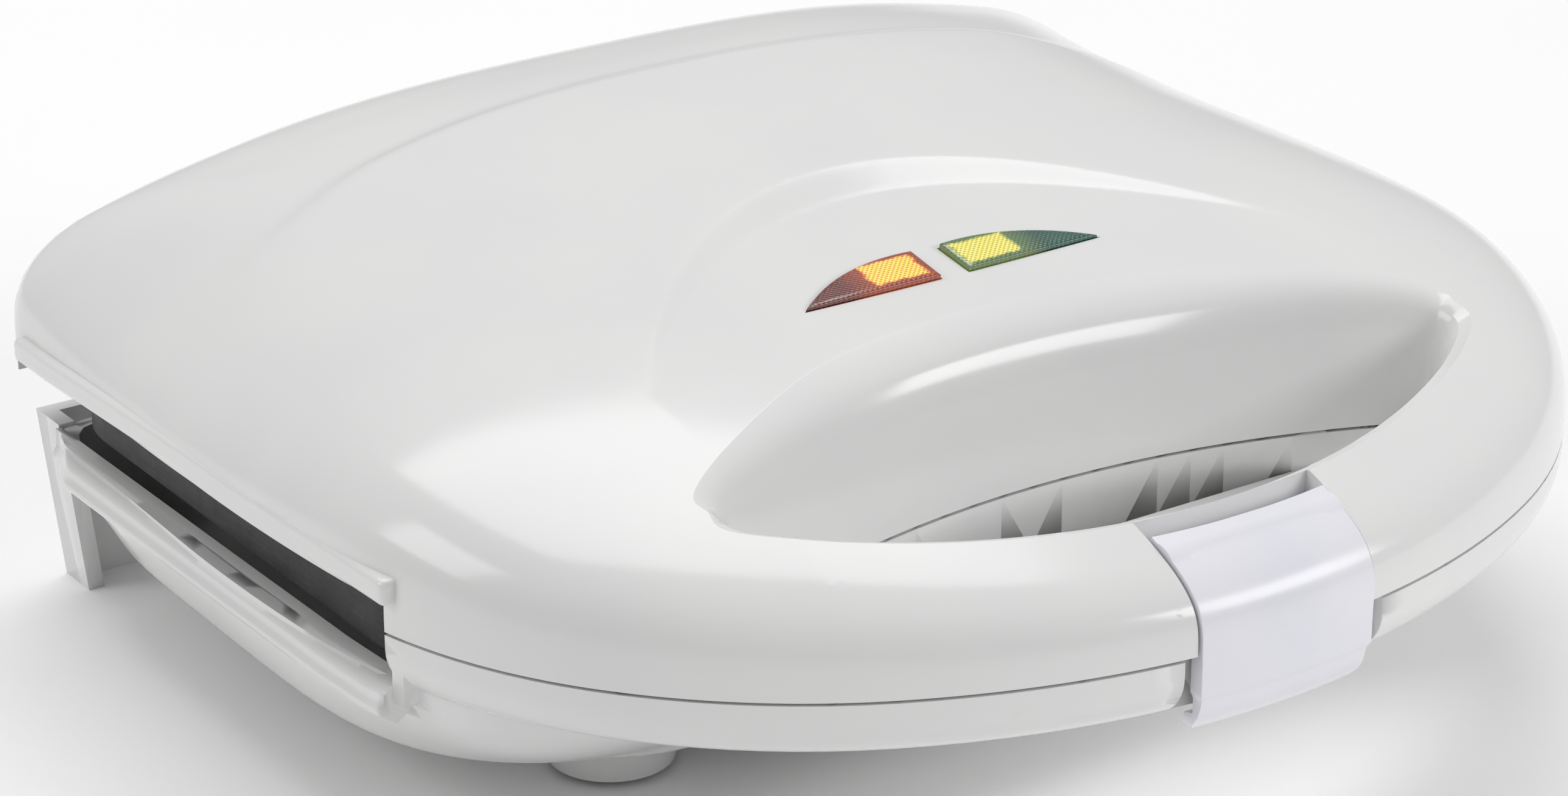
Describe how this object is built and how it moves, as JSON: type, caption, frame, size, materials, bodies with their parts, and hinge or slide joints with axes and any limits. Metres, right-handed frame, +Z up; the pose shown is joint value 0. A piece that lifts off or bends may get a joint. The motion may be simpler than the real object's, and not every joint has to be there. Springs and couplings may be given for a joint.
{
  "type": "sandwich maker",
  "caption": "Electric toasted sandwich maker with a hinged domed lid, handle opening, front latch, ready lamps and fixed plates with triangular pockets.",
  "frame": {"origin": "centre of the bounding box in X and Y, on the ground plane under the feet", "axes": "+Z up, +Y to the hinge at the back, -Y to the handle and latch, +X to the right seen from the front"},
  "size_m": [0.231, 0.2204, 0.0874],
  "materials": {
    "white_plastic": "gloss ABS, moulded",
    "latch_plastic": "gloss nylon, moulded",
    "grey_rubber": "matt",
    "non_stick_plate": "black non-stick coating, satin",
    "screw_steel": "plain zinc plated",
    "pin_steel": "drawn",
    "heater_sheath": "oxidised sheath",
    "terminal_ceramic": "ceramic bead with a steel stud",
    "reflector_sheet": "bright pressed sheet",
    "thermostat_case": "plated case",
    "fuse_sleeve": "woven sleeve",
    "terminal_block_plastic": "matt",
    "bush_plastic": "matt, soft",
    "red_lens_plastic": "clear tinted, ribbed underneath",
    "green_lens_plastic": "clear tinted, ribbed underneath",
    "holder_plastic": "matt heat resistant",
    "neon_glass": "clear"
  },
  "bodies": {
    "base": {"base_cover": "white_plastic", "foot_pads": "grey_rubber", "lower_plate": "non_stick_plate", "lower_plate_screws": "screw_steel", "lower_heater": "heater_sheath", "lower_heater_terminals": "terminal_ceramic", "lower_reflector": "reflector_sheet", "thermostat": "thermostat_case", "thermal_fuse": "fuse_sleeve", "terminal_block": "terminal_block_plastic", "cord_inlet_bush": "bush_plastic", "hinge_pins": "pin_steel"},
    "lid": {"lid_cover": "white_plastic", "upper_plate": "non_stick_plate", "upper_plate_screws": "screw_steel", "upper_heater": "heater_sheath", "upper_heater_terminals": "terminal_ceramic", "upper_reflector": "reflector_sheet", "red_lens": "red_lens_plastic", "green_lens": "green_lens_plastic", "lamp_holder": "holder_plastic", "lamp_holder_screws": "screw_steel", "red_neon_lamp": "neon_glass", "green_neon_lamp": "neon_glass", "latch_pin": "pin_steel"},
    "latch": {"latch_clip": "latch_plastic"}
  },
  "joints": [
    {"name": "lid_hinge", "type": "hinge", "parent": "base", "child": "lid", "pos_m": [0, 0.106, 0.0437], "axis": [-1, 0, 0], "range_deg": [0, 105]},
    {"name": "latch_pivot", "type": "hinge", "parent": "lid", "child": "latch", "pos_m": [0, -0.095, 0.0535], "axis": [-1, 0, 0], "range_deg": [0, 50]}
  ]
}
